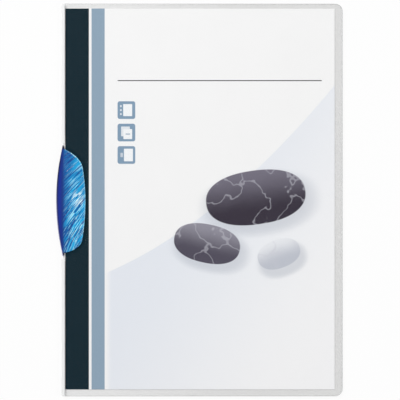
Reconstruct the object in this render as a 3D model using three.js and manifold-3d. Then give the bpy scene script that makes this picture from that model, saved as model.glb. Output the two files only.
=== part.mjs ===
// A clip folder for A4 sheets, closed and lying on its back cover, front cover up.
// Two covers of polypropylene sheet share a narrow spine. A moulded clip swings sideways round a
// rivet, and its blade presses the sheets through a notch in the front cover.
// Millimetres, +Z up out of the front cover, +Y up the page, the spine on the -X side.

import * as THREE from 'three';
import { mergeVertices } from 'three/addons/utils/BufferGeometryUtils.js';
import Module from 'manifold-3d';

const wasm = await Module();
wasm.setup();

// Driving dimensions of the covers
const folderWidth = 219;
const folderHeight = 306;
const sheetGauge = 0.4;
const openCornerRadius = 6;
const spineCornerRadius = 1;
const bendRadius = 0.9;
const paperRoom = 2.2;
const creaseGap = 0.3;
const axisAboveCover = 0.2;
const coverRestGap = 0.3;

// Driving dimensions of the title sheet
const insertWidth = 210;
const insertHeight = 297;
const insertGauge = 0.25;
const insertFromSpine = 2.8;
const insertShiftUp = 0.8;

// Driving dimensions of the clip, measured from the spine's outer face
const clipLength = 86.3;
const clipShiftUp = -0.55;
const webBulge = 4.4;
const webWall = 1.6;
const webHalfLength = 30;
const webWaist = 2;
const tipInset = 0.6;
const tipWidth = 0.8;
const hornLength = 2.8;
const bladeReach = 18.5;
const shoulderInset = 2.2;
const upperShoulder = 17;
const lowerShoulder = 14.2;
const bladeCrown = 2.55;
const bladeTipRise = 0.9;
const bladeLip = 0.7;
const shoulderRun = 6;
const footRound = 1.8;
const plateGauge = 1.4;
const plateReach = 15;
const plateShort = 5;
const pivotPad = 5.4;

// Flutes pressed into the blade's face
const flutePitch = 2.3;
const fluteRadius = 1;
const fluteDepth = 0.32;
const fluteLength = 13;
const fluteMargin = 1;
const fluteTiltTop = THREE.MathUtils.degToRad(38);
const fluteTiltFoot = THREE.MathUtils.degToRad(58);

// Driving dimensions of the rivet
const pivotFromSpine = 4;
const pivotFromTip = 5.6;
const shankRadius = 1.5;
const headRadius = 3.2;
const headHeight = 0.3;
const flangeRadius = 2.6;
const flangeHeight = 0.5;
const flangeRecess = 0.1;

// Clearances
const plateClearance = 0.2;
const bladeClearance = 0.3;
const edgeClearance = 0.5;
const notchGap = 2.3;
const rivetClearance = 0.3;
const flangeClearance = 0.15;
const cutOver = 5;

// Heights, from the underside of the clip's plate upwards
const backUnder = plateGauge + plateClearance;
const backTop = backUnder + sheetGauge;
const insertUnder = backTop + headHeight;
const insertTop = insertUnder + insertGauge;
const bladeUnder = insertTop + bladeClearance;
const frontUnder = backTop + paperRoom;
const frontTop = frontUnder + sheetGauge;

// Places in plan, with X = 0 at the spine's outer face and Y = 0 at half the folder's height
const clipHalf = clipLength / 2;
const clipTop = clipShiftUp + clipHalf;
const clipFoot = clipShiftUp - clipHalf;
const pivotY = clipTop - pivotFromTip;
const hingeX = bendRadius + creaseGap / 2;
const hingeZ = frontTop + axisAboveCover;

// The part is centred on its own box, which the clip's web widens past the spine
const spineShift = (webBulge - folderWidth) / 2;

// A closed geometry as a solid, and a solid as a geometry
function toSolid(geometry) {
  const bare = geometry.clone();
  bare.deleteAttribute('normal');
  bare.deleteAttribute('uv');
  const merged = mergeVertices(bare, 1e-5);
  const vertProperties = new Float32Array(merged.attributes.position.array);
  const triVerts = new Uint32Array(merged.index.array);
  return new wasm.Manifold(new wasm.Mesh({ numProp: 3, vertProperties, triVerts }));
}

function toGeometry(solid) {
  const { vertProperties, triVerts } = solid.getMesh();
  const geometry = new THREE.BufferGeometry();
  geometry.setAttribute('position', new THREE.BufferAttribute(vertProperties, 3));
  geometry.setIndex(new THREE.BufferAttribute(triVerts, 1));
  geometry.computeVertexNormals();
  return geometry;
}

// A plan outline raised from one height to another
function prism(shape, low, high, curveSegments = 12) {
  const raised = new THREE.ExtrudeGeometry(shape, { depth: high - low, bevelEnabled: false, curveSegments });
  return raised.translate(0, 0, low);
}

function block(x0, x1, y0, y1, z0, z1) {
  const box = new THREE.BoxGeometry(x1 - x0, y1 - y0, z1 - z0);
  return toSolid(box.translate((x0 + x1) / 2, (y0 + y1) / 2, (z0 + z1) / 2));
}

function upright(radius, x, y, low, high) {
  const post = new THREE.CylinderGeometry(radius, radius, high - low, 40);
  return toSolid(post.rotateX(Math.PI / 2).translate(x, y, (low + high) / 2));
}

// A cover's outline: nearly square corners at the spine and round ones at the open edge
function coverOutline(left, right) {
  const top = folderHeight / 2;
  const near = spineCornerRadius;
  const far = openCornerRadius;
  const shape = new THREE.Shape();
  shape.moveTo(left + near, -top);
  shape.lineTo(right - far, -top);
  shape.absarc(right - far, far - top, far, -Math.PI / 2, 0);
  shape.lineTo(right, top - far);
  shape.absarc(right - far, top - far, far, 0, Math.PI / 2);
  shape.lineTo(left + near, top);
  shape.absarc(left + near, top - near, near, Math.PI / 2, Math.PI);
  shape.lineTo(left, near - top);
  shape.absarc(left + near, near - top, near, Math.PI, 1.5 * Math.PI);
  return shape;
}

// The bowed outer edge of the clip, an arc through both tips: its X at a given Y
const bowSagitta = webBulge + tipInset;
const bowRadius = (clipHalf ** 2 + bowSagitta ** 2) / (2 * bowSagitta);

function bowX(y, inset = 0) {
  const radius = bowRadius - inset;
  return bowRadius - webBulge - Math.sqrt(radius ** 2 - (y - clipShiftUp) ** 2);
}

// The blade's free edge, from the upper tip round both shoulders to the lower tip
function bladeEdge() {
  const shoulderX = bladeReach - shoulderInset;
  const upperY = clipTop - upperShoulder;
  const lowerY = clipFoot + lowerShoulder;
  const hornX = tipInset + 2 * tipWidth;
  const upperHorn = new THREE.Vector2(hornX, clipTop - hornLength);
  const lowerHorn = new THREE.Vector2(hornX, clipFoot + hornLength * 0.9);
  const edge = new THREE.Path();
  edge.moveTo(tipInset + tipWidth, clipTop);
  edge.lineTo(upperHorn.x, upperHorn.y);
  edge.bezierCurveTo(
    shoulderX * 0.4, upperHorn.y - hornLength * 0.8,
    shoulderX * 0.88, upperY + upperShoulder * 0.46,
    shoulderX, upperY,
  );
  edge.quadraticCurveTo(bladeReach + shoulderInset, clipShiftUp, shoulderX, lowerY);
  edge.bezierCurveTo(
    shoulderX * 0.97, lowerY - lowerShoulder * 0.42,
    shoulderX * 0.66, lowerHorn.y + hornLength * 0.6,
    lowerHorn.x, lowerHorn.y,
  );
  edge.lineTo(tipInset + tipWidth, clipFoot);
  return edge;
}

const bladeSteps = 50;
const bladePoints = bladeEdge().getSpacedPoints(bladeSteps);

// The blade's reach at a given Y, read off its free edge
function bladeX(y) {
  const after = bladePoints.findIndex((point) => point.y <= y);
  const b = bladePoints[Math.max(after, 1)];
  const a = bladePoints[Math.max(after, 1) - 1];
  return THREE.MathUtils.mapLinear(y, a.y, b.y, a.x, b.x);
}

// Height of the blade's smooth face over a point in plan: a rounded shoulder rises from the bow
// to the crown, and the face then falls to the lip at the free edge
function crownHeight(y) {
  const along = Math.min(1, Math.abs(y - clipShiftUp) / clipHalf);
  return bladeUnder + bladeTipRise + (bladeCrown - bladeTipRise) * (1 - along ** 3);
}

function faceHeight(x, y, left, right) {
  const crown = crownHeight(y);
  const run = Math.min(shoulderRun, (right - left) * 0.45);
  const peak = left + run;
  if (x < peak) {
    const off = (peak - x) / run;
    return webWaist + (crown - webWaist) * Math.sqrt(Math.max(0, 1 - off ** 2));
  }
  const fall = crown - bladeUnder - bladeLip;
  return crown - fall * ((x - peak) / (right - peak)) ** 2.2;
}

// One closed cross-section of the clip before its mouth is cut, at one station up the page
function clipSection(y, right) {
  const left = bowX(y);
  const run = Math.min(shoulderRun, (right - left) * 0.45);
  const foot = Math.min(footRound, (right - left) * 0.4);
  const points = [new THREE.Vector3(left + foot, y, 0), new THREE.Vector3(right, y, 0)];
  const faceSteps = 8;
  for (let i = 0; i <= faceSteps; i++) {
    const x = THREE.MathUtils.lerp(right, left + run, i / faceSteps);
    points.push(new THREE.Vector3(x, y, faceHeight(x, y, left, right)));
  }
  const crown = crownHeight(y);
  const roundSteps = 8;
  for (let i = 1; i <= roundSteps; i++) {
    const turn = (Math.PI / 2) * (i / roundSteps);
    const x = left + run * (1 - Math.sin(turn));
    points.push(new THREE.Vector3(x, y, webWaist + (crown - webWaist) * Math.cos(turn)));
  }
  const footSteps = 4;
  for (let i = 1; i < footSteps; i++) {
    const turn = (Math.PI / 2) * (i / footSteps);
    points.push(new THREE.Vector3(left + foot * (1 - Math.cos(turn)), y, webWaist * (1 - Math.sin(turn))));
  }
  return points;
}

// A closed skin over a row of sections that all have the same number of points
function loft(sections) {
  const count = sections[0].length;
  const positions = sections.flat().flatMap((point) => point.toArray());
  const index = [];
  for (let s = 0; s < sections.length - 1; s++) {
    for (let i = 0; i < count; i++) {
      const j = (i + 1) % count;
      const a = s * count;
      const b = a + count;
      index.push(a + i, a + j, b + i, a + j, b + j, b + i);
    }
  }
  const outline = sections[0].map((point) => new THREE.Vector2(point.x, point.z));
  const last = (sections.length - 1) * count;
  for (const [i, j, k] of THREE.ShapeUtils.triangulateShape(outline, [])) {
    index.push(k, j, i);
    index.push(last + i, last + j, last + k);
  }
  const geometry = new THREE.BufferGeometry();
  geometry.setAttribute('position', new THREE.Float32BufferAttribute(positions, 3));
  geometry.setIndex(index);
  return geometry;
}

// The slot between blade and plate: it takes the back cover and the sheets, up to the web
function clipMouth() {
  const far = bladeReach + cutOver;
  const steps = 16;
  const shape = new THREE.Shape();
  shape.moveTo(far, clipFoot - cutOver);
  shape.lineTo(far, clipTop + cutOver);
  shape.lineTo(-webBulge - cutOver, clipTop + cutOver);
  shape.lineTo(-webBulge - cutOver, clipShiftUp + webHalfLength);
  for (let i = 0; i <= steps; i++) {
    const y = clipShiftUp + webHalfLength * (1 - (2 * i) / steps);
    shape.lineTo(Math.min(bowX(y, webWall), -edgeClearance), y);
  }
  shape.lineTo(-webBulge - cutOver, clipShiftUp - webHalfLength);
  shape.lineTo(-webBulge - cutOver, clipFoot - cutOver);
  return toSolid(prism(shape, plateGauge / 2, bladeUnder));
}

// The plate under the back cover: a slim half lens with a round pad at the rivet, and the web's
// rounded foot along the bow
function clipPlate() {
  const half = clipHalf - plateShort;
  const radius = (half ** 2 + plateReach ** 2) / (2 * plateReach);
  const sweep = Math.asin(half / radius);
  const lens = new THREE.Shape();
  lens.moveTo(-webBulge - cutOver, clipShiftUp - half);
  lens.lineTo(0, clipShiftUp - half);
  lens.absarc(plateReach - radius, clipShiftUp, radius, -sweep, sweep);
  lens.lineTo(-webBulge - cutOver, clipShiftUp + half);
  const pad = upright(pivotPad, pivotFromSpine, pivotY, -cutOver, plateGauge);
  const outline = toSolid(prism(lens, -cutOver, plateGauge, 40)).add(pad);
  const bowed = bladePoints.map((point) => clipSection(point.y, bladeReach));
  return toSolid(loft(bowed)).intersect(outline);
}

// A slender spindle that presses one flute into the blade's face
function fluteTool(x, y, tilt, length) {
  const profile = [];
  const steps = 5;
  for (let i = 0; i <= steps; i++) {
    const s = (2 * i) / steps - 1;
    profile.push(new THREE.Vector2(fluteRadius * (1 - s ** 4), (s * length) / 2));
  }
  const height = (px, py) => faceHeight(px, py, bowX(py), bladeX(py));
  const dx = Math.cos(tilt) * length / 2;
  const dy = Math.sin(tilt) * length / 2;
  const rise = (height(x + dx, y + dy) - height(x - dx, y - dy)) / 2;
  const axis = new THREE.Vector3(dx, dy, rise).normalize();
  const tool = new THREE.LatheGeometry(profile, 6);
  tool.applyQuaternion(new THREE.Quaternion().setFromUnitVectors(new THREE.Vector3(0, 1, 0), axis));
  return toSolid(tool.translate(x, y, height(x, y) + fluteRadius - fluteDepth));
}

// How far a slanting line from the spine runs over the blade before it meets the free edge
function fluteRun(y, tilt) {
  const step = flutePitch / 8;
  const inside = (d) => {
    const py = y + d * Math.sin(tilt);
    return py < clipTop - hornLength && fluteMargin + d * Math.cos(tilt) < bladeX(py) - fluteMargin;
  };
  let start = 0;
  while (y + start * Math.sin(tilt) < clipFoot + hornLength) {
    start += step;
  }
  let end = start;
  while (inside(end)) {
    end += step;
  }
  return [start, end];
}

// Flutes slant up to the free edge, steeper towards the foot. Each slanting line is parted into
// one, two or three flutes, at places that waver from line to line.
function pressFlutes(solid) {
  let pressed = solid;
  let line = 0;
  for (let y = clipFoot - bladeReach; y < clipTop; y += flutePitch) {
    const along = THREE.MathUtils.clamp((y - clipFoot) / clipLength, 0, 1);
    const tilt = THREE.MathUtils.lerp(fluteTiltFoot, fluteTiltTop, along);
    const [start, end] = fluteRun(y, tilt);
    const waver = 0.3 * Math.sin(line * 2.4);
    const count = Math.max(1, Math.round((end - start) / fluteLength + waver));
    for (let i = 0; i < count && end - start > fluteLength / 3; i++) {
      const from = start + (end - start) * Math.max(0, (i + waver * 0.5) / count);
      const to = start + (end - start) * Math.min(1, (i + 1 + waver * 0.5) / count);
      const middle = (from + to) / 2;
      const tool = fluteTool(
        fluteMargin + middle * Math.cos(tilt),
        y + middle * Math.sin(tilt),
        tilt,
        to - from,
      );
      pressed = pressed.subtract(tool);
    }
    line += 1;
  }
  return pressed;
}

function spineClip() {
  const stations = bladePoints.map((point) => clipSection(point.y, point.x));
  const blank = pressFlutes(toSolid(loft(stations)));
  const under = block(
    -webBulge - cutOver, bladeReach + cutOver,
    clipFoot - cutOver, clipTop + cutOver,
    -cutOver, plateGauge * 0.75,
  );
  const bore = upright(shankRadius + rivetClearance, pivotFromSpine, pivotY, -cutOver, bladeUnder);
  const seat = flangeRecess + flangeHeight + flangeClearance;
  const recess = upright(flangeRadius + rivetClearance, pivotFromSpine, pivotY, -cutOver, seat);
  return blank
    .subtract(clipMouth())
    .subtract(under)
    .add(clipPlate())
    .subtract(bore)
    .subtract(recess);
}

// The back cover's sheet seen from the foot: back panel, fold, spine and the fold to the front
function backSection() {
  const inner = bendRadius - sheetGauge;
  const foldLow = backUnder + bendRadius;
  const foldHigh = frontTop - bendRadius;
  const shape = new THREE.Shape();
  shape.moveTo(folderWidth, backTop);
  shape.lineTo(bendRadius, backTop);
  shape.absarc(bendRadius, foldLow, inner, 1.5 * Math.PI, Math.PI, true);
  shape.lineTo(sheetGauge, foldHigh);
  shape.absarc(bendRadius, foldHigh, inner, Math.PI, Math.PI / 2, true);
  shape.lineTo(bendRadius, frontTop);
  shape.absarc(bendRadius, foldHigh, bendRadius, Math.PI / 2, Math.PI);
  shape.lineTo(0, foldLow);
  shape.absarc(bendRadius, foldLow, bendRadius, Math.PI, 1.5 * Math.PI);
  shape.lineTo(folderWidth, backUnder);
  return shape;
}

function backCover() {
  const sheet = prism(backSection(), 0, folderHeight, 6).rotateX(Math.PI / 2).translate(0, folderHeight / 2, 0);
  const outline = toSolid(prism(coverOutline(0, folderWidth), -cutOver, frontTop + cutOver));
  const notch = block(
    -cutOver, bendRadius,
    clipFoot - notchGap, clipTop + notchGap,
    -cutOver, frontTop + cutOver,
  );
  const hole = upright(shankRadius + rivetClearance, pivotFromSpine, pivotY, 0, insertTop);
  return toSolid(sheet).intersect(outline).subtract(notch).subtract(hole);
}

// The notch in the front cover: the blade's free edge, moved out by one even gap
function notchOutline() {
  const shape = new THREE.Shape();
  shape.moveTo(-cutOver, clipTop + notchGap);
  shape.lineTo(tipInset, clipTop + notchGap);
  for (let i = 1; i < bladeSteps; i++) {
    const along = new THREE.Vector2().subVectors(bladePoints[i + 1], bladePoints[i - 1]).normalize();
    const away = new THREE.Vector2(-along.y, along.x).multiplyScalar(notchGap);
    const point = bladePoints[i].clone().add(away);
    if (bladePoints[i].x > tipInset + 4 * tipWidth) {
      shape.lineTo(point.x, point.y);
    }
  }
  shape.lineTo(tipInset, clipFoot - notchGap);
  shape.lineTo(-cutOver, clipFoot - notchGap);
  return shape;
}

// The front cover in its hinge's frame, with the axis just above the crease
function frontCover() {
  const start = creaseGap / 2;
  const low = frontUnder - hingeZ;
  const high = frontTop - hingeZ;
  const sheet = toSolid(prism(coverOutline(start, folderWidth - hingeX), low, high));
  const notch = toSolid(prism(notchOutline(), low - cutOver, high + cutOver).translate(-hingeX, 0, 0));
  return sheet.subtract(notch);
}

function pivotRivet() {
  const flangeTop = flangeRecess + flangeHeight;
  const profile = [
    new THREE.Vector2(0, flangeRecess),
    new THREE.Vector2(flangeRadius, flangeRecess),
    new THREE.Vector2(flangeRadius, flangeTop),
    new THREE.Vector2(shankRadius, flangeTop),
    new THREE.Vector2(shankRadius, backTop),
    new THREE.Vector2(headRadius, backTop),
    new THREE.Vector2(headRadius - headHeight, insertUnder),
    new THREE.Vector2(0, insertUnder),
  ];
  return new THREE.LatheGeometry(profile, 40).rotateX(Math.PI / 2);
}

function piece(name, geometry, color, roughness) {
  const material = new THREE.MeshStandardMaterial({ color, roughness, metalness: 0 });
  const mesh = new THREE.Mesh(geometry, material);
  mesh.name = name;
  return mesh;
}

const folder = new THREE.Group();
folder.position.x = spineShift;

folder.add(piece('back_cover', toGeometry(backCover()), 0xdcdcdc, 0.5));
folder.add(piece('spine_clip', toGeometry(spineClip()), 0x2c73b5, 0.15));

const insert = piece('insert_sheet', new THREE.BoxGeometry(insertWidth, insertHeight, insertGauge), 0xf2f3f5, 0.8);
insert.position.set(insertFromSpine + insertWidth / 2, insertShiftUp, (insertUnder + insertTop) / 2);
folder.add(insert);

const rivet = piece('pivot_rivet', pivotRivet(), 0x9fb4cc, 0.3);
rivet.position.set(pivotFromSpine, pivotY, 0);
folder.add(rivet);

// The front cover leans down from the spine until it lies just over the title sheet
const coverHinge = new THREE.Group();
coverHinge.position.set(hingeX, 0, hingeZ);
coverHinge.rotation.y = Math.asin((frontUnder - insertTop - coverRestGap) / (folderWidth - hingeX));
coverHinge.add(piece('front_cover', toGeometry(frontCover()), 0xf4f6f8, 0.25));
folder.add(coverHinge);

const part = new THREE.Group();
part.add(folder);

export default part;
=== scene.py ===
import math

import bmesh
import bpy
import numpy as np
from mathutils import Matrix, Vector
from mathutils.geometry import interpolate_bezier


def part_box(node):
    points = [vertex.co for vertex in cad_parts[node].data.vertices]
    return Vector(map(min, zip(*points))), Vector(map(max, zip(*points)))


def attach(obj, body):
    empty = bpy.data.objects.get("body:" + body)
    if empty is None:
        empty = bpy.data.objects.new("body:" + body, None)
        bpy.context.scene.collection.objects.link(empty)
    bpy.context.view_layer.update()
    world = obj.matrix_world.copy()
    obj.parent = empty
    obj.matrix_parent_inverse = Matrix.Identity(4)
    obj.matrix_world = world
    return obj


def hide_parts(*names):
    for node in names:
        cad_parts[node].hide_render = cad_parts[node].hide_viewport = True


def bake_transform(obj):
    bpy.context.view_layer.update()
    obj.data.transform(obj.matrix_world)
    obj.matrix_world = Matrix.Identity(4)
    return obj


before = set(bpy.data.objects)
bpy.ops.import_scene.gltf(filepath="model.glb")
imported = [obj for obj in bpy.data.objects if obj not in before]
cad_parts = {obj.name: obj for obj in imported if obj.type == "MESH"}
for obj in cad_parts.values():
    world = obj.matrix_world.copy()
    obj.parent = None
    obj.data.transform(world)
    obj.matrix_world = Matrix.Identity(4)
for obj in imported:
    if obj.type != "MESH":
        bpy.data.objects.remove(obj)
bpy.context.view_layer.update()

# Camera. A long lens hangs straight over the closed folder, with the head of the page up, at the
# height where the frame takes in the folder's full height and a narrow margin.
MM = 0.001
FRAME_WIDTH = 311.6 * MM
LENS = 200.0
SENSOR = 36.0
VIEW_X = 0.5 * MM
FILM_HEIGHT = 4.4 * MM

lens = bpy.data.cameras.new("over_folder")
lens.type = "PERSP"
lens.lens = LENS
lens.sensor_width = SENSOR
lens.clip_end = 20.0
camera = bpy.data.objects.new("over_folder", lens)
camera.location = (VIEW_X, 0.0, FILM_HEIGHT + FRAME_WIDTH * LENS / SENSOR)
bpy.context.scene.collection.objects.link(camera)
bpy.context.scene.camera = camera
bpy.context.scene.view_settings.view_transform = "Standard"


# Back cover. One sheet of milky polypropylene with a fine grain, folded up into the spine on either
# side of the clip. It is die-cut and creased flat, and the clip is riveted through it.
class Value:
    """A number that changes over a surface. Arithmetic on it adds Math nodes."""

    def __init__(self, nodes, socket):
        self.nodes = nodes
        self.socket = socket

    def maths(self, operation, *others):
        inputs = [self.socket] + [getattr(other, "socket", other) for other in others]
        node = self.nodes.node("ShaderNodeMath", {"operation": operation}, dict(enumerate(inputs)))
        return Value(self.nodes, node.outputs[0])

    def __add__(self, other):
        return self.maths("ADD", other)

    __radd__ = __add__

    def __sub__(self, other):
        return self.maths("SUBTRACT", other)

    def __rsub__(self, other):
        return self * -1.0 + other

    def __mul__(self, other):
        return self.maths("MULTIPLY", other)

    __rmul__ = __mul__

    def __truediv__(self, other):
        return self.maths("DIVIDE", other)

    def power(self, exponent):
        return self.maths("POWER", exponent)

    def least(self, other):
        return self.maths("MINIMUM", other)

    def most(self, other):
        return self.maths("MAXIMUM", other)

    def rise(self, low, high):
        """Goes smoothly from 0 at low to 1 at high, or the other way round when low is higher."""
        if low > high:
            return 1.0 - self.rise(high, low)
        settings = {"interpolation_type": "SMOOTHSTEP"}
        node = self.nodes.node("ShaderNodeMapRange", settings, {0: self.socket, 1: low, 2: high})
        return Value(self.nodes, node.outputs[0])


class Nodes:
    """A node tree in which one method makes every node."""

    def __init__(self, tree):
        self.tree = tree

    def node(self, kind, settings, inputs):
        node = self.tree.nodes.new(kind)
        for name, value in settings.items():
            setattr(node, name, value)
        for name, value in inputs.items():
            value = getattr(value, "socket", value)
            if isinstance(value, bpy.types.NodeSocket):
                self.tree.links.new(value, node.inputs[name])
            else:
                node.inputs[name].default_value = value
        return node

    def wire(self, value, socket):
        self.tree.links.new(getattr(value, "socket", value), socket)


class Finish(Nodes):
    """A material whose surface is one Principled shader."""

    def __init__(self, name, **constants):
        self.material = bpy.data.materials.new(name)
        self.material.use_nodes = True
        super().__init__(self.material.node_tree)
        self.shader = self.tree.nodes["Principled BSDF"]
        for socket, value in constants.items():
            self.shader.inputs[socket.replace("_", " ")].default_value = value
        coordinates = self.node("ShaderNodeTexCoord", {}, {})
        self.place = coordinates.outputs["Object"]
        axes = self.node("ShaderNodeSeparateXYZ", {}, {0: self.place})
        self.x, self.y, self.z = (Value(self, axes.outputs[i]) / MM for i in range(3))

    def noise(self, size, detail=3.0, place=None):
        """Soft noise whose lumps are about size millimetres across."""
        inputs = {"Vector": place or self.place, "Scale": 1.0 / (size * MM), "Detail": detail}
        return Value(self, self.node("ShaderNodeTexNoise", {}, inputs).outputs[0])

    def point(self, x, y, z=0.0):
        node = self.node("ShaderNodeCombineXYZ", {}, {0: x, 1: y, 2: z})
        return node.outputs[0]

    def blend(self, share, under, over):
        """The colour over laid on the colour under by share."""
        inputs = {0: share, 6: under, 7: over}
        return self.node("ShaderNodeMix", {"data_type": "RGBA"}, inputs).outputs[2]

    def feed(self, socket, value):
        self.wire(value, self.shader.inputs[socket])

    def bump(self, height, depth):
        """Relief of depth millimetres where height goes from 0 to 1."""
        inputs = {"Height": height, "Distance": depth * MM, "Strength": 1.0}
        self.feed("Normal", self.node("ShaderNodeBump", {}, inputs).outputs[0])


def colour(red, green, blue):
    """A colour as read off a screen, 0 to 255, in the linear light that shaders take."""
    shares = (channel / 255.0 for channel in (red, green, blue))
    return (*(s / 12.92 if s <= 0.04045 else ((s + 0.055) / 1.055) ** 2.4 for s in shares), 1.0)


back_low, back_high = (Vector(corner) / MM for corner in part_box("back_cover"))
SPINE_X = back_low.x
FOLD_BLUSH_AND_HIGHLIGHT = 1.6
FOLD_FADE = 0.6
FROST = 0.72
FOLD_BLUSH_AND_HIGHLIGHT_COVER = 0.2


def frosted_film():
    film = Finish("frosted_film", Roughness=0.42, IOR=1.49)
    milk_and_painted_shade = film.blend(film.noise(60.0, 2.0), colour(231, 231, 231), colour(238, 238, 237))
    # Painted shade: the sheet is paler towards the left and darker towards the right.
    milk_and_painted_shade = film.blend(film.x.rise(60.0, -100.0) * 0.75, milk_and_painted_shade, colour(250, 250, 250))
    # The fold is whitened near-white and more opaque, which also paints in the highlight along the
    # spine.
    fold_blush_and_highlight = film.x.rise(SPINE_X + FOLD_BLUSH_AND_HIGHLIGHT, SPINE_X + FOLD_BLUSH_AND_HIGHLIGHT - FOLD_FADE)
    film.feed("Base Color", film.blend(fold_blush_and_highlight, milk_and_painted_shade, colour(252, 252, 252)))
    film.feed("Alpha", fold_blush_and_highlight * FOLD_BLUSH_AND_HIGHLIGHT_COVER + FROST)
    film.bump(film.noise(0.35, 2.0), 0.012)
    return film.material


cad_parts["back_cover"].material_slots[0].material = frosted_film()


# Pivot rivet. A small moulded rivet of clear plastic, pressed through the back cover so that the
# clip's plate can turn on its shank.
def rivet_plastic():
    plastic = Finish("rivet_plastic", Roughness=0.3, IOR=1.49)
    shade = plastic.noise(1.5, 2.0)
    plastic.feed("Base Color", plastic.blend(shade, colour(120, 150, 190), colour(150, 178, 210)))
    plastic.bump(plastic.noise(0.2), 0.004)
    return plastic.material


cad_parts["pivot_rivet"].material_slots[0].material = rivet_plastic()


# Title sheet. One A4 leaf of smooth coated paper, printed in flat inks: two upright bands at the
# spine, a thin rule, three small square signs and a soft picture of pebbles. It lies loose.
SHEET_LOW, SHEET_HIGH = (Vector(corner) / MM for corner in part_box("insert_sheet"))
DARK_BAND = 18.35
PALE_BAND = (20.4, 30.65)
INK_EDGE = 0.12
RULE_LEFT, RULE_RIGHT, RULE_DROP, RULE_WIDTH = 40.8, 199.9, 55.85, 0.7
SIGN_SIZE, SIGN_LEFT, SIGN_DROP, SIGN_STEP = 13.8, 40.7, 72.3, 17.5
SIGN_CORNER = 1.6

# Each sign is a page with a few marks: left and right side, drop from the top, depth, whiteness
SIGN_MARKS = (
    (
        (4.4, 11.4, 2.2, 9.4, 1.0), (2.0, 3.2, 3.0, 1.6, 0.8),
        (2.0, 3.2, 6.1, 1.6, 0.8), (2.0, 3.2, 9.2, 1.6, 0.8),
    ),
    ((2.8, 9.6, 2.2, 7.6, 0.8), (4.6, 11.4, 4.2, 7.8, 1.0), (6.2, 9.8, 7.6, 1.0, 0.3)),
    ((5.0, 12.0, 2.0, 9.8, 1.0), (2.2, 4.2, 5.2, 3.4, 0.5)),
)
SIGN_BLUE = colour(134, 160, 184)
MARK_CORNER = 0.3

# Each pebble: its middle, length, width, turn in degrees, and its dark and light side
PEBBLES = (
    (44.0, 2.0, 78.0, 42.0, 8.0, colour(58, 52, 64), colour(120, 116, 130)),
    (6.0, -34.0, 52.0, 30.0, -12.0, colour(84, 80, 94), colour(150, 148, 160)),
    (62.0, -42.0, 34.0, 22.0, 20.0, colour(196, 200, 210), colour(238, 240, 244)),
)
PEBBLE_SQUARENESS = 2.3
SHADOW_SHIFT = (3.0, -5.0)
HORIZON_SHIFT, HORIZON_SLOPE, HORIZON_BOW = 14.0, 0.75, 0.0022
GROUND_FADE = 6.0


def box_mask(paper, left, right, low, high, corner=0.0):
    """1 inside a rectangle with round corners, in millimetres, and 0 outside it."""
    half_width, half_height = (right - left) / 2 - corner, (high - low) / 2 - corner
    across = ((paper.x - (left + right) / 2).maths("ABSOLUTE") - half_width + INK_EDGE).most(0.0)
    along = ((paper.y - (low + high) / 2).maths("ABSOLUTE") - half_height + INK_EDGE).most(0.0)
    reach = (across * across + along * along).maths("SQRT")
    return reach.rise(corner + 2 * INK_EDGE, corner)


def pebble(paper, ink, x, y, length, width, turn, dark, light):
    """A smooth pebble printed over ink, with the soft shadow that it throws to the lower right."""
    cos, sin = math.cos(math.radians(turn)), math.sin(math.radians(turn))

    def reach(dx, dy):
        off_x, off_y = paper.x - (x + dx), paper.y - (y + dy)
        along = (off_x * cos + off_y * sin) / (length / 2)
        across = (off_y * cos - off_x * sin) / (width / 2)
        long_share = along.maths("ABSOLUTE").power(PEBBLE_SQUARENESS)
        return long_share + across.maths("ABSOLUTE").power(PEBBLE_SQUARENESS), across

    shadow, _ = reach(*SHADOW_SHIFT)
    ink = paper.blend(shadow.rise(1.9, 0.7) * 0.45, ink, colour(176, 182, 194))
    body, across = reach(0.0, 0.0)
    lit = (across + 0.25 * paper.noise(14.0, 4.0)).rise(-0.4, 1.1)
    shade = paper.blend(lit, dark, light)
    vein = (paper.noise(26.0, 3.0) - 0.5).maths("ABSOLUTE").rise(0.016, 0.004)
    shade = paper.blend(vein * 0.38, shade, colour(206, 206, 216))
    return paper.blend(body.rise(1.03, 0.97), ink, shade)


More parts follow.
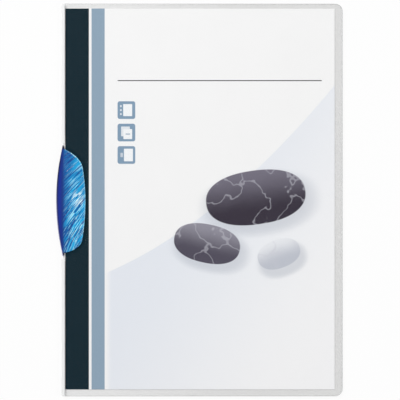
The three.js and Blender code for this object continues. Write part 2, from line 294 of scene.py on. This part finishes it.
def printed_paper():
    paper = Finish("printed_paper", Roughness=0.5)
    paper.shader.inputs["Specular IOR Level"].default_value = 0.05
    left, right = SHEET_LOW.x, SHEET_HIGH.x
    low, high = SHEET_LOW.y, SHEET_HIGH.y
    white = colour(252, 252, 252)
    ink = paper.blend(paper.noise(30.0), colour(249, 249, 249), white)

    # The pale blue-grey ground fills the lower right, up to a long bowed horizon
    slope = paper.x * HORIZON_SLOPE + HORIZON_BOW * (paper.x * paper.x)
    from_band = (paper.x - left).rise(PALE_BAND[1], PALE_BAND[1] + GROUND_FADE)
    horizon = (paper.y + HORIZON_SHIFT - slope).rise(0.6, -0.6) * from_band
    fade = (paper.x * 0.8 - paper.y * 0.5).rise(-20.0, 130.0)
    ground = paper.blend(fade, colour(234, 238, 245), colour(250, 250, 251))
    ink = paper.blend(horizon, ink, ground)

    for pebble_values in PEBBLES:
        ink = pebble(paper, ink, *pebble_values)

    rule_top = high - RULE_DROP
    rule = box_mask(paper, left + RULE_LEFT, left + RULE_RIGHT, rule_top - RULE_WIDTH, rule_top)
    ink = paper.blend(rule, ink, colour(38, 40, 45))
    for number, marks in enumerate(SIGN_MARKS):
        top = high - SIGN_DROP - number * SIGN_STEP
        side = left + SIGN_LEFT
        tile = box_mask(paper, side, side + SIGN_SIZE, top - SIGN_SIZE, top, SIGN_CORNER)
        ink = paper.blend(tile, ink, SIGN_BLUE)
        for near, far, drop, depth, white_share in marks:
            mark_top = top - drop
            mark = box_mask(
                paper, side + near, side + far, mark_top - depth, mark_top, MARK_CORNER
            )
            mark_ink = paper.blend(white_share, SIGN_BLUE, colour(248, 250, 252))
            ink = paper.blend(mark, ink, mark_ink)

    pale = box_mask(paper, left + PALE_BAND[0], left + PALE_BAND[1], low - 1.0, high + 1.0)
    band = box_mask(paper, left - 1.0, left + DARK_BAND, low - 1.0, high + 1.0)
    ink = paper.blend(pale, ink, colour(147, 169, 188))
    ink = paper.blend(band, ink, colour(11, 36, 46))
    top_face = paper.z.rise(SHEET_LOW.z + 0.1, SHEET_LOW.z + 0.2)
    paper.feed("Base Color", paper.blend(top_face, white, ink))
    paper.bump(paper.noise(0.6, 3.0), 0.0012)
    return paper.material


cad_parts["insert_sheet"].material_slots[0].material = printed_paper()


# Front cover. The same sheet as the back, but clear: smooth film that only dims what lies under it
# and turns glossy at a slant, notched so that the clip reaches the paper. Its crease is whitened,
# which also paints in a highlight, and a grey line of painted shade runs along its cut edges.
CREASE_BLUSH_AND_HIGHLIGHT = 2.7
CREASE_FADE = 0.5
CUT_RIM = 0.4
RIM_CORNER = 5.6
PAST_CREASE = 20.0
FILM_DIM = 0.01
FILM_SHEEN = 0.4
CREASE_COVER = 0.85
RIM_COVER = 0.3


def clear_film():
    film = Finish("clear_film", Roughness=0.1, IOR=1.49)
    # The crease is whitened near-white and more opaque, which also paints in the highlight along
    # the spine.
    crease = film.x.rise(SPINE_X + CREASE_BLUSH_AND_HIGHLIGHT, SPINE_X + CREASE_BLUSH_AND_HIGHLIGHT - CREASE_FADE)
    cloud = film.blend(film.noise(8.0), (0.26, 0.26, 0.26, 1.0), (0.34, 0.34, 0.34, 1.0))
    low, high = (Vector(corner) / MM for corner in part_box("front_cover"))
    left, right = low.x - PAST_CREASE, high.x - CUT_RIM
    inner = box_mask(film, left, right, low.y + CUT_RIM, high.y - CUT_RIM, RIM_CORNER)
    # Painted shade: a grey, more opaque line along the cover's cut edges.
    painted_edge_shade = 1.0 - inner
    cloud = film.blend(painted_edge_shade, cloud, colour(176, 178, 178))
    film.feed("Base Color", film.blend(crease, cloud, colour(252, 253, 253)))
    slant = film.node("ShaderNodeLayerWeight", {}, {"Blend": 0.5}).outputs["Facing"]
    sheen = Value(film, slant).power(3.0) * FILM_SHEEN + FILM_DIM
    film.feed("Alpha", sheen.most(crease * CREASE_COVER).most(painted_edge_shade * RIM_COVER))
    film.bump(film.noise(9.0, 2.0), 0.004)
    return film.material


clear = clear_film()
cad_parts["front_cover"].material_slots[0].material = clear


# Crease. The thin scored line where the front cover leaves the spine, above and below the notch.
# It is the same sheet, pressed thinner where it is scored.
SHEET_GAUGE = 0.4
CREASE_LAP = 0.25
CREASE_GAUGE = 0.3
SCORE_SHARE = 0.5
BEND_RADIUS = 0.9
CREASE_GAP = 0.3
CREASE_CUTS = 11
NOTCH_GAP = 2.3
clip_low, clip_high = (Vector(corner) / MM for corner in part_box("spine_clip"))


def finish_piece(name, bm, material, body):
    """Makes an object of a mesh in millimetres, at the origin, and lets it ride on a body."""
    bmesh.ops.transform(bm, matrix=Matrix.Scale(MM, 4), verts=bm.verts)
    mesh = bpy.data.meshes.new(name)
    bm.to_mesh(mesh)
    bm.free()
    if material:
        mesh.materials.append(material)
    piece = bpy.data.objects.new(name, mesh)
    bpy.context.scene.collection.objects.link(piece)
    if body:
        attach(piece, body)
    return piece


def crease(name, low, high):
    """One run of the scored film, thinnest midway between the two covers."""
    start = SPINE_X + BEND_RADIUS - CREASE_LAP
    end = SPINE_X + BEND_RADIUS + CREASE_GAP + CREASE_LAP
    middle = back_high.z - SHEET_GAUGE / 2
    bm = bmesh.new()
    bmesh.ops.create_cube(bm, size=1.0)
    bmesh.ops.scale(bm, vec=(end - start, high - low, CREASE_GAUGE), verts=bm.verts)
    bmesh.ops.translate(bm, vec=((start + end) / 2, (low + high) / 2, middle), verts=bm.verts)

    # Only the edges that run from one cover to the other are cut
    long_edges = []
    for edge in bm.edges:
        if abs(edge.verts[0].co.x - edge.verts[1].co.x) > CREASE_LAP:
            long_edges.append(edge)
    bmesh.ops.subdivide_edges(bm, edges=long_edges, cuts=CREASE_CUTS, use_grid_fill=True)
    for vert in bm.verts:
        from_middle = abs(vert.co.x - (start + end) / 2) / ((end - start) / 2)
        scored = SCORE_SHARE + (1.0 - SCORE_SHARE) * from_middle**2
        vert.co.z = middle + (vert.co.z - middle) * scored
    piece = finish_piece(name, bm, clear, None)
    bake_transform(piece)


EDGE_INSET = 1.0
crease("upper_crease", clip_high.y + NOTCH_GAP, back_high.y - EDGE_INSET)
crease("lower_crease", back_low.y + EDGE_INSET, clip_low.y - NOTCH_GAP)


# Clip. One C-shaped moulding of clear blue plastic: a bowed web outside the spine, a slim plate
# under the back cover, and a fluted blade that presses the sheets. It turns on the rivet. The web
# is thick and looks navy, and the blade's slanting flutes carry painted highlights and shade.
CLIP_LENGTH = 86.3
CLIP_SHIFT_UP = -0.55
WEB_BULGE = 4.4
WEB_WALL = 1.6
WEB_HALF_LENGTH = 30.0
WEB_WAIST = 2.0
TIP_INSET = 0.6
TIP_WIDTH = 0.8
HORN_LENGTH = 2.8
BLADE_REACH = 18.5
SHOULDER_INSET = 2.2
UPPER_SHOULDER = 17.0
LOWER_SHOULDER = 14.2
BLADE_UNDER = 2.85
BLADE_CROWN = 2.55
BLADE_TIP_RISE = 0.9
BLADE_LIP = 0.7
LIP_ROUND = 0.35
SHOULDER_RUN = 6.0
FOOT_ROUND = 1.8
PLATE_GAUGE = 1.4
PLATE_REACH = 15.0
PLATE_SHORT = 5.0
PIVOT_PAD = 5.4
PIVOT_FROM_SPINE = 4.0
PIVOT_FROM_TIP = 5.6
BORE_RADIUS = 1.8
RECESS_RADIUS = 2.9
RECESS_TOP = 0.75
SPINE_GAP = 0.5
CUT_OVER = 5.0
SHOULDER_SHARE = 0.45
FOOT_SHARE = 0.4
FACE_FALL = 2.2
LIP_DEPTH_SHARE = 0.6
TILT_AT_FOOT = 61.0
TILT_CHANGE = 20.0
FLUTE_SEED = 7
FLUTE_ROWS = (-62.0, 42.0)
FLUTE_PITCH = 1.25
FLUTE_RUN = (-48.0, 52.0)
FLUTE_START = (0.0, 9.0)
FLUTE_HALF_LENGTH = (3.0, 7.5)
FLUTE_HALF_WIDTH = (0.42, 0.74)
FLUTE_DEPTH = (0.08, 0.26)
FLUTE_WANDER = 0.16
FLUTE_STEP = (0.75, 1.15)
FLUTE_FROM_EDGE = (0.3, 1.2)
FLUTE_FROM_SPINE = (0.2, 2.2)
FLUTE_FROM_TIPS = (2.0, 4.5)
HORN_REACH = 2.6
HORN_CLEAR = 3.0
FAR_OFF = 99.0
SHARP_ANGLE = 38.0
UNDER_LEFT, UNDER_RIGHT = -20.0, 30.0
UNDER_TOP_SHARE = 0.75
GLINT_X, GLINT_Y = 12.5, 0.5
GLINT_HALF_WIDTH, GLINT_HALF_LENGTH = 5.5, 8.0
CURVE_STEPS = 100
MOUTH_STEPS = 49
PLATE_STEPS = 97
STATIONS = 260
FACE_STEPS = 52
ROUND_STEPS = 14
FOOT_STEPS = 8
CLIP_HALF = CLIP_LENGTH / 2
CLIP_TOP = CLIP_SHIFT_UP + CLIP_HALF
CLIP_FOOT = CLIP_SHIFT_UP - CLIP_HALF
PIVOT_Y = CLIP_TOP - PIVOT_FROM_TIP
BOW_SAGITTA = WEB_BULGE + TIP_INSET
BOW_RADIUS = (CLIP_HALF**2 + BOW_SAGITTA**2) / (2 * BOW_SAGITTA)


def bow_x(y, inset=0.0):
    """The web's outer arc through both tips, measured from the spine."""
    return BOW_RADIUS - WEB_BULGE - np.sqrt((BOW_RADIUS - inset) ** 2 - (y - CLIP_SHIFT_UP) ** 2)


def free_edge():
    """The blade's free edge from the upper tip to the lower one, at even steps along it.

    Three curves in a row, each of two ends and two handles set by shares of the shoulder and
    the horn: down the upper shoulder, along the bowed middle, and round the lower shoulder.
    """
    shoulder = BLADE_REACH - SHOULDER_INSET
    upper, lower = CLIP_TOP - UPPER_SHOULDER, CLIP_FOOT + LOWER_SHOULDER
    horn = TIP_INSET + 2 * TIP_WIDTH
    high, low = CLIP_TOP - HORN_LENGTH, CLIP_FOOT + HORN_LENGTH * 0.9
    middle = BLADE_REACH + SHOULDER_INSET
    handle_x = (shoulder + 2 * middle) / 3
    curves = (
        ((horn, high), (shoulder * 0.4, high - HORN_LENGTH * 0.8),
         (shoulder * 0.88, upper + UPPER_SHOULDER * 0.46), (shoulder, upper)),
        ((shoulder, upper), (handle_x, (upper + 2 * CLIP_SHIFT_UP) / 3),
         (handle_x, (lower + 2 * CLIP_SHIFT_UP) / 3), (shoulder, lower)),
        ((shoulder, lower), (shoulder * 0.97, lower - LOWER_SHOULDER * 0.42),
         (shoulder * 0.66, low + HORN_LENGTH * 0.6), (horn, low)),
    )
    points = [(TIP_INSET + TIP_WIDTH, CLIP_TOP)]
    for curve in curves:
        ends_and_handles = (Vector(point) for point in curve)
        points += [tuple(point) for point in interpolate_bezier(*ends_and_handles, CURVE_STEPS)]
    points.append((TIP_INSET + TIP_WIDTH, CLIP_FOOT))
    path = np.array([point[:2] for point in points])
    walked = np.concatenate(([0.0], np.cumsum(np.hypot(*np.diff(path, axis=0).T))))
    steps = np.linspace(0.0, walked[-1], STATIONS)
    return np.interp(steps, walked, path[:, 0]), np.interp(steps, walked, path[:, 1])


def slant(x, y):
    """Where a place lies across and along the flutes, which steepen towards the foot."""
    along = np.clip((y - CLIP_FOOT) / CLIP_LENGTH, 0.0, 1.0)
    tilt = np.radians(TILT_AT_FOOT - TILT_CHANGE * along)
    across = y - x * np.tan(tilt)
    return across * np.cos(tilt), x * np.cos(tilt) + y * np.sin(tilt)


def flutes():
    """Shallow flutes in slanting rows: across, along, half-length, half-width and depth of each."""
    draw = np.random.default_rng(FLUTE_SEED)
    rows = []
    for across in np.arange(*FLUTE_ROWS, FLUTE_PITCH):
        along = FLUTE_RUN[0] + draw.uniform(*FLUTE_START)
        while along < FLUTE_RUN[1]:
            half = draw.uniform(*FLUTE_HALF_LENGTH)
            depth = draw.uniform(*FLUTE_DEPTH)
            centre = across + draw.normal(0.0, FLUTE_WANDER)
            rows.append((centre, along + half, half, draw.uniform(*FLUTE_HALF_WIDTH), depth))
            along += 2 * half * draw.uniform(*FLUTE_STEP)
    return rows


FLUTES = flutes()


def relief(x, y):
    """How deep the flutes are under the blade's smooth face."""
    across, along = slant(x, y)
    depth = np.zeros(np.shape(across))
    for centre, middle, half, width, deep in FLUTES:
        groove = np.clip(1.0 - ((across - centre) / width) ** 2, 0.0, None)
        ends = np.clip(1.0 - ((along - middle) / half) ** 4, 0.0, None)
        depth = np.maximum(depth, deep * groove * ends)
    return depth


def smooth_step(value, low, high):
    """0 up to low, 1 from high on, and a smooth curve between."""
    share = np.clip((value - low) / (high - low), 0.0, 1.0)
    return share * share * (3.0 - 2.0 * share)


def clip_sections(y, right, fluted):
    """Closed sections of the clip before its mouth is cut: X, Y and Z by station and point."""
    y, right = y[:, None], right[:, None]
    left = bow_x(y)
    run = np.minimum(SHOULDER_RUN, (right - left) * SHOULDER_SHARE)
    foot = np.minimum(FOOT_ROUND, (right - left) * FOOT_SHARE)
    far = np.minimum(1.0, np.abs(y - CLIP_SHIFT_UP) / CLIP_HALF)
    crown = BLADE_UNDER + BLADE_TIP_RISE + (BLADE_CROWN - BLADE_TIP_RISE) * (1.0 - far**3)
    face_x = right + (left + run - right) * np.linspace(0.0, 1.0, FACE_STEPS)
    fall = np.clip((face_x - left - run) / (right - left - run), 0.0, 1.0) ** FACE_FALL
    face_z = crown - (crown - BLADE_UNDER - BLADE_LIP) * fall
    lip = np.clip(1.0 - (right - face_x) / LIP_ROUND, 0.0, 1.0)
    face_z = face_z - LIP_ROUND * LIP_DEPTH_SHARE * (1.0 - np.sqrt(1.0 - lip**2))
    if fluted:
        from_edge = smooth_step(right - face_x, *FLUTE_FROM_EDGE)
        from_spine = smooth_step(face_x, *FLUTE_FROM_SPINE)
        from_tips = smooth_step(np.minimum(CLIP_TOP - y, y - CLIP_FOOT), *FLUTE_FROM_TIPS)
        depth = relief(face_x, y + 0.0 * face_x)
        face_z = face_z - depth * from_edge * from_spine * from_tips
    turns = np.linspace(0.0, math.pi / 2, ROUND_STEPS + 1)[1:]
    round_x = left + run * (1.0 - np.sin(turns))
    round_z = WEB_WAIST + (crown - WEB_WAIST) * np.cos(turns)
    turns = np.linspace(0.0, math.pi / 2, FOOT_STEPS + 1)[1:]
    foot_x = left + foot * (1.0 - np.cos(turns))
    foot_z = WEB_WAIST * (1.0 - np.sin(turns)) + 0.0 * left
    x = np.concatenate((face_x, round_x, foot_x, right), axis=1)
    z = np.concatenate((face_z, round_z, foot_z, 0.0 * right), axis=1)
    return np.stack((x, y + 0.0 * x, z), axis=2)


def skin(sections):
    """A closed skin, drawn out from one ring over a row of sections, both ends capped."""
    bm = bmesh.new()
    count = len(sections[0])
    ring = bmesh.ops.create_circle(bm, segments=count, radius=1.0, cap_ends=False)["verts"]
    edges = list(bm.edges)
    for number, section in enumerate(sections):
        if number:
            made = bmesh.ops.extrude_edge_only(bm, edges=edges)["geom"]
            edges = [item for item in made if isinstance(item, bmesh.types.BMEdge)]
            edges = [edge for edge in edges if edge.is_boundary]
            fresh = [item for item in made if isinstance(item, bmesh.types.BMVert)]
            order = {}
            for vert in fresh:
                for edge in vert.link_edges:
                    other = edge.other_vert(vert)
                    if other in places:
                        order[places[other]] = vert
            ring = [order[i] for i in range(count)]
        places = {vert: i for i, vert in enumerate(ring)}
        for vert, place in zip(ring, section):
            vert.co = (place[0] + SPINE_X, place[1], place[2])
    bmesh.ops.holes_fill(bm, edges=[edge for edge in bm.edges if edge.is_boundary], sides=0)
    bmesh.ops.recalc_face_normals(bm, faces=bm.faces)
    return bm


def raised(points, low, high):
    """A plan outline raised from one height to another."""
    bm = bmesh.new()
    verts = [bm.verts.new((x + SPINE_X, y, low)) for x, y in points]
    face = bm.faces.new(verts)
    made = bmesh.ops.extrude_face_region(bm, geom=[face])["geom"]
    top = [item for item in made if isinstance(item, bmesh.types.BMVert)]
    bmesh.ops.translate(bm, vec=(0.0, 0.0, high - low), verts=top)
    bmesh.ops.recalc_face_normals(bm, faces=bm.faces)
    return bm


def post(radius, low, high):
    """A round post at the pivot."""
    bm = bmesh.new()
    bmesh.ops.create_cone(
        bm, cap_ends=True, segments=64, radius1=radius, radius2=radius, depth=high - low
    )
    middle = (PIVOT_FROM_SPINE + SPINE_X, PIVOT_Y, (low + high) / 2)
    bmesh.ops.translate(bm, vec=middle, verts=bm.verts)
    return bm


def shaped(body, cuts):
    """Applies a row of joins and cuts to a body, and takes the cutters away."""
    helpers = []
    for operation, bm in cuts:
        helper = finish_piece("cutter", bm, body.active_material, None)
        helpers.append(helper)
        modifier = body.modifiers.new(operation, "BOOLEAN")
        modifier.operation = operation
        modifier.solver = "MANIFOLD"
        modifier.object = helper
    graph = bpy.context.evaluated_depsgraph_get()
    mesh = bpy.data.meshes.new_from_object(body.evaluated_get(graph))
    body.modifiers.clear()
    body.data = mesh
    for helper in helpers:
        bpy.data.objects.remove(helper)
    return body


def clip_mouth():
    """The slot that takes the back cover and the sheets, open on the blade's side."""
    half = WEB_HALF_LENGTH
    far, out = BLADE_REACH + CUT_OVER, -WEB_BULGE - CUT_OVER
    points = [(far, CLIP_FOOT - CUT_OVER), (far, CLIP_TOP + CUT_OVER), (out, CLIP_TOP + CUT_OVER)]
    points.append((out, CLIP_SHIFT_UP + half))
    for y in np.linspace(CLIP_SHIFT_UP + half, CLIP_SHIFT_UP - half, MOUTH_STEPS):
        points.append((min(bow_x(y, WEB_WALL), -SPINE_GAP), y))
    points += [(out, CLIP_SHIFT_UP - half), (out, CLIP_FOOT - CUT_OVER)]
    return raised(points, PLATE_GAUGE / 2, BLADE_UNDER)


def clip_plate(stations):
    """The plate under the back cover, with its rivet pad, kept inside the clip's bowed side."""
    half = CLIP_HALF - PLATE_SHORT
    radius = (half**2 + PLATE_REACH**2) / (2 * PLATE_REACH)
    sweep = math.asin(half / radius)
    out = -WEB_BULGE - CUT_OVER
    points = [(out, CLIP_SHIFT_UP - half)]
    for turn in np.linspace(-sweep, sweep, PLATE_STEPS):
        side, up = radius * math.cos(turn), radius * math.sin(turn)
        points.append((PLATE_REACH - radius + side, CLIP_SHIFT_UP + up))
    points.append((out, CLIP_SHIFT_UP + half))
    plate = finish_piece("clip_plate", raised(points, -CUT_OVER, PLATE_GAUGE), None, None)
    bowed = skin(clip_sections(stations, np.full(len(stations), BLADE_REACH), False))
    shaped(plate, [("UNION", post(PIVOT_PAD, -CUT_OVER, PLATE_GAUGE)), ("INTERSECT", bowed)])
    bm = bmesh.new()
    bm.from_mesh(plate.data)
    bpy.data.objects.remove(plate)
    bmesh.ops.transform(bm, matrix=Matrix.Scale(1.0 / MM, 4), verts=bm.verts)
    return bm


def clip_plastic():
    """Blues by distance from the web, edge and tips, with painted highlights and shade."""
    plastic = Finish("clip_plastic", Roughness=0.16, IOR=1.5)
    plastic.shader.inputs["Specular IOR Level"].default_value = 0.16
    plastic.shader.inputs["Coat Roughness"].default_value = 0.05

    def read(name):
        node = plastic.node("ShaderNodeAttribute", {"attribute_name": name}, {})
        return Value(plastic, node.outputs["Fac"])

    from_bow, from_edge, from_tip = read("from_bow"), read("from_edge"), read("from_tip")
    across, along, hollow, blade = read("across"), read("along"), read("hollow"), read("blade")
    flute_relief_and_painted_streaks = plastic.noise(1.0 / MM, 1.0, plastic.point(across * 0.9, along * 0.05))
    fine_relief_and_painted_glints = plastic.noise(1.0 / MM, 2.0, plastic.point(across * 1.4 + 40.0, along * 0.085))
    patch = plastic.noise(9.0, 1.0)

    from_spine = plastic.x - SPINE_X
    web = plastic.blend(from_bow.rise(0.1, 2.6), colour(12, 20, 72), colour(14, 42, 144))
    web = plastic.blend(from_spine.rise(-1.6, 0.8), web, colour(10, 50, 130))
    face = plastic.blend(from_bow.rise(5.0, 17.0), colour(0, 92, 164), colour(4, 146, 208))
    # Painted shade: darker streaks between the flutes.
    face = plastic.blend(flute_relief_and_painted_streaks.rise(0.5, 0.34) * 0.9, face, colour(0, 60, 138))
    # Painted highlights: bright streaks along the flutes, stronger towards the free edge and lower
    # down.
    low = plastic.y.rise(4.0, -24.0) * 0.35
    lit = (from_bow.rise(6.0, 15.0) * 0.7 + 0.15 + low).least(1.0)
    lit = lit * (1.0 - plastic.y.rise(8.0, 26.0) * 0.4)
    face = plastic.blend(flute_relief_and_painted_streaks.rise(0.52, 0.6) * lit, face, colour(36, 184, 240))
    face = plastic.blend(fine_relief_and_painted_glints.rise(0.54, 0.6) * lit, face, colour(166, 232, 252))
    # Painted shade: the flutes' hollows are darker.
    face = plastic.blend(hollow.rise(0.08, 0.2) * 0.3, face, colour(4, 78, 156))

    # A cluster of near-white glints where the blade is highest
    glow_x = (plastic.x - SPINE_X - GLINT_X) / GLINT_HALF_WIDTH
    glow_y = (plastic.y - GLINT_Y) / GLINT_HALF_LENGTH
    cluster = (glow_x * glow_x + glow_y * glow_y).rise(1.0, 0.2)
    glint = cluster * fine_relief_and_painted_glints.rise(0.49, 0.55) * patch.rise(0.3, 0.5)
    face = plastic.blend(glint, face, colour(224, 250, 255))
    web = plastic.blend(from_bow.rise(5.0, 14.0), web, colour(12, 74, 150))
    blue = plastic.blend(from_spine.rise(0.4, 3.2) * blade, web, face)

    upper = plastic.y.rise(20.0, 34.0)
    edge_light = plastic.noise(1.7, 0.0).rise(0.5, 0.58) * (upper * 0.8 + 0.2) + 0.18
    edge_light = from_edge.rise(1.0, 0.4) * edge_light * from_tip.rise(3.0, 5.0)
    edge_light = edge_light * plastic.y.rise(-38.0, -24.0)
    blue = plastic.blend(edge_light.least(1.0), blue, colour(182, 238, 252))
    blue = plastic.blend(from_tip.rise(4.2, 1.6), blue, colour(14, 14, 48))
    # Painted reflection: a pale mauve light along the web's outer edge, in the lower half.
    painted_rim_light = from_bow.rise(1.0, 0.3) * 0.9
    blue = plastic.blend(painted_rim_light * plastic.y.rise(16.0, -16.0), blue, colour(160, 160, 206))
    plastic.feed("Base Color", blue)
    plastic.feed("Coat Weight", from_bow.rise(3.0, 6.0) * 0.12 + 0.05)
    plastic.bump(flute_relief_and_painted_streaks * 0.7 + fine_relief_and_painted_glints * 0.3, 0.12)
    return plastic.material


def measure_clip(mesh):
    """Stores at each vertex of the mesh where it lies on the moulding, in millimetres."""
    places = np.empty(len(mesh.vertices) * 3)
    mesh.vertices.foreach_get("co", places)
    x, y, z = places.reshape(-1, 3).T / MM
    x = x - SPINE_X
    edge_x, edge_y = free_edge()
    gaps = np.full(len(x), FAR_OFF)
    for place in zip(edge_x, edge_y):
        gaps = np.minimum(gaps, np.hypot(x - place[0], y - place[1]))
    across, along = slant(x, y)
    tips = np.minimum(CLIP_TOP - y, y - CLIP_FOOT)
    tips = np.where(x > HORN_REACH, tips + HORN_CLEAR, tips)
    values = {
        "from_bow": x - bow_x(y),
        "from_edge": np.where(z > BLADE_UNDER, gaps, FAR_OFF),
        "from_tip": tips,
        "across": across,
        "along": along,
        "hollow": np.where(z > BLADE_UNDER, relief(x, y), 0.0),
        "blade": np.where(z > BLADE_UNDER + 0.01, 1.0, 0.0),
    }
    for name, value in values.items():
        layer = mesh.attributes.new(name, "FLOAT", "POINT")
        layer.data.foreach_set("value", value.astype(np.float32))


edge_x, edge_y = free_edge()
blank = skin(clip_sections(edge_y, edge_x, True))
spine_clip = finish_piece("fluted_clip", blank, clip_plastic(), "clip")

# The moulding's foot is cut off, so that the plate joins it in an outline of its own
under_foot, under_head = CLIP_FOOT - CUT_OVER, CLIP_TOP + CUT_OVER
under_outline = [
    (UNDER_LEFT, under_foot), (UNDER_RIGHT, under_foot),
    (UNDER_RIGHT, under_head), (UNDER_LEFT, under_head),
]
under = raised(under_outline, -CUT_OVER, PLATE_GAUGE * UNDER_TOP_SHARE)
shaped(spine_clip, [
    ("DIFFERENCE", clip_mouth()), ("DIFFERENCE", under), ("UNION", clip_plate(edge_y[::3])),
    ("DIFFERENCE", post(BORE_RADIUS, -CUT_OVER, BLADE_UNDER)),
    ("DIFFERENCE", post(RECESS_RADIUS, -CUT_OVER, RECESS_TOP)),
])
measure_clip(spine_clip.data)
spine_clip.data.shade_smooth()
spine_clip.data.set_sharp_from_angle(angle=math.radians(SHARP_ANGLE))
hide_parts("spine_clip")


# Floor and light. A plain white sweep under the folder, one broad soft lamp at the upper left, a
# weaker one at the right, and an even sky.
FLOOR_HALF = 3000.0
FLOOR_DROP = 0.02
FLOOR_GLOW = 0.9
FLOOR_PALE = 0.9
WHITE = (1.0, 1.0, 1.0, 1.0)
SKY = 0.465
LAMPS = (
    ("upper_left_lamp", (-0.9, 0.9, 1.5), 0.7, 19.5),
    ("right_lamp", (1.3, -0.4, 1.2), 0.6, 7.1),
)


def shown(nodes):
    """1 on the rays that show a thing straight, in gloss or through film, and 0 on the others."""
    rays = nodes.node("ShaderNodeLightPath", {}, {}).outputs
    straight = Value(nodes, rays["Is Camera Ray"])
    gloss = Value(nodes, rays["Is Glossy Ray"])
    film = Value(nodes, rays["Is Transmission Ray"])
    return straight.most(gloss).most(film)


def white_floor():
    """A white floor that takes soft shadows and mostly glows, so that it shows as white."""
    bm = bmesh.new()
    bmesh.ops.create_grid(bm, x_segments=1, y_segments=1, size=FLOOR_HALF)
    bmesh.ops.translate(bm, vec=(0.0, 0.0, -FLOOR_DROP), verts=bm.verts)
    floor = Finish("floor_white", Roughness=0.9)
    floor.shader.inputs["Base Color"].default_value = (FLOOR_PALE, FLOOR_PALE, FLOOR_PALE, 1.0)
    floor.shader.inputs["Specular IOR Level"].default_value = 0.0
    glow = floor.node("ShaderNodeEmission", {}, {"Color": WHITE, "Strength": 1.0})
    shaders = {0: shown(floor) * FLOOR_GLOW, 1: floor.shader.outputs[0], 2: glow.outputs[0]}
    mixed = floor.node("ShaderNodeMixShader", {}, shaders)
    floor.wire(mixed.outputs[0], floor.tree.nodes["Material Output"].inputs["Surface"])
    finish_piece("floor", bm, floor.material, None)


def soft_lamp(name, place, size, power):
    light = bpy.data.lights.new(name, "AREA")
    light.shape = "SQUARE"
    light.size = size
    light.energy = power
    lamp = bpy.data.objects.new(name, light)
    lamp.location = place
    lamp.rotation_euler = (-Vector(place)).to_track_quat("-Z", "Y").to_euler()
    bpy.context.scene.collection.objects.link(lamp)


def even_sky():
    """A sky that lights the folder evenly, and shows as white."""
    sky = bpy.data.worlds.new("even_sky")
    sky.use_nodes = True
    nodes = Nodes(sky.node_tree)
    background = nodes.tree.nodes["Background"]
    background.inputs["Color"].default_value = WHITE
    nodes.wire(shown(nodes) * (1.0 - SKY) + SKY, background.inputs["Strength"])
    bpy.context.scene.world = sky


white_floor()
for lamp_values in LAMPS:
    soft_lamp(*lamp_values)
even_sky()
